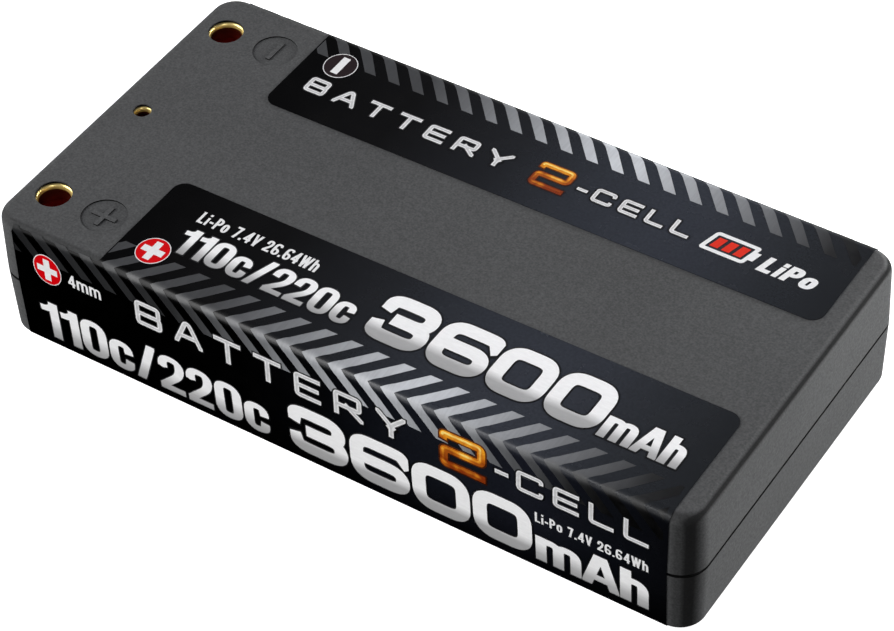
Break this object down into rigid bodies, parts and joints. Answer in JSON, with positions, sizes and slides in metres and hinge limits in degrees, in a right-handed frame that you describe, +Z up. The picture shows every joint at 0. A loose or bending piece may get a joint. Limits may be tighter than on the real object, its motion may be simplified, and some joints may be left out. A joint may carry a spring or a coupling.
{
  "type": "lipo battery pack",
  "caption": "Low-profile hard-case lithium polymer pack for model cars, with recessed gold sockets in one end of its top face and a printed wrap label.",
  "frame": {"origin": "centre of the underside's bounding rectangle, on the surface the pack rests on", "axes": "+X along the pack away from the sockets, -Y towards the positive socket, +Z up through the top face"},
  "size_m": [0.092, 0.047, 0.0176],
  "materials": {
    "charcoal_plastic": "moulded, fine matte texture",
    "printed_film": "printed vinyl film under a clear gloss layer",
    "gold_plating": "gold-plated turned contact, polished",
    "tin_solder": "solder fillet, satin",
    "glass_board": "green lacquer over glass-fibre board",
    "copper_strip": "bare punched copper, satin",
    "pouch_film": "embossed aluminium laminate, satin",
    "electrode_foils": "stacked coated foils, matte",
    "aluminium_tab": "rolled strip, satin",
    "nickel_tab": "nickel strip, satin",
    "tab_resin": "heat-sealed resin film",
    "dark_foam": "closed-cell foam, matte",
    "polyimide_tape": "amber film tape",
    "barley_paper": "insulating fibre paper, matte"
  },
  "bodies": {
    "root": {"upper_case": "charcoal_plastic", "lower_case": "charcoal_plastic", "wrap_label": "printed_film", "positive_socket": "gold_plating", "negative_socket": "gold_plating", "balance_socket": "gold_plating", "positive_solder_ring": "tin_solder", "negative_solder_ring": "tin_solder", "balance_solder_ring": "tin_solder", "terminal_board": "glass_board", "positive_busbar": "copper_strip", "negative_busbar": "copper_strip", "midpoint_link": "copper_strip", "balance_link": "copper_strip", "busbar_insulator": "barley_paper", "terminal_insulator": "barley_paper", "bottom_foam_pad": "dark_foam", "top_foam_pad": "dark_foam", "end_foam_block": "dark_foam", "cell_spacer_tape": "polyimide_tape", "lower_pouch_cup": "pouch_film", "lower_pouch_cover": "pouch_film", "lower_electrode_stack": "electrode_foils", "lower_positive_tab": "aluminium_tab", "lower_positive_tab_sealant": "tab_resin", "lower_negative_tab": "nickel_tab", "lower_negative_tab_sealant": "tab_resin", "upper_pouch_cup": "pouch_film", "upper_pouch_cover": "pouch_film", "upper_electrode_stack": "electrode_foils", "upper_positive_tab": "aluminium_tab", "upper_positive_tab_sealant": "tab_resin", "upper_negative_tab": "nickel_tab", "upper_negative_tab_sealant": "tab_resin"}
  },
  "joints": []
}
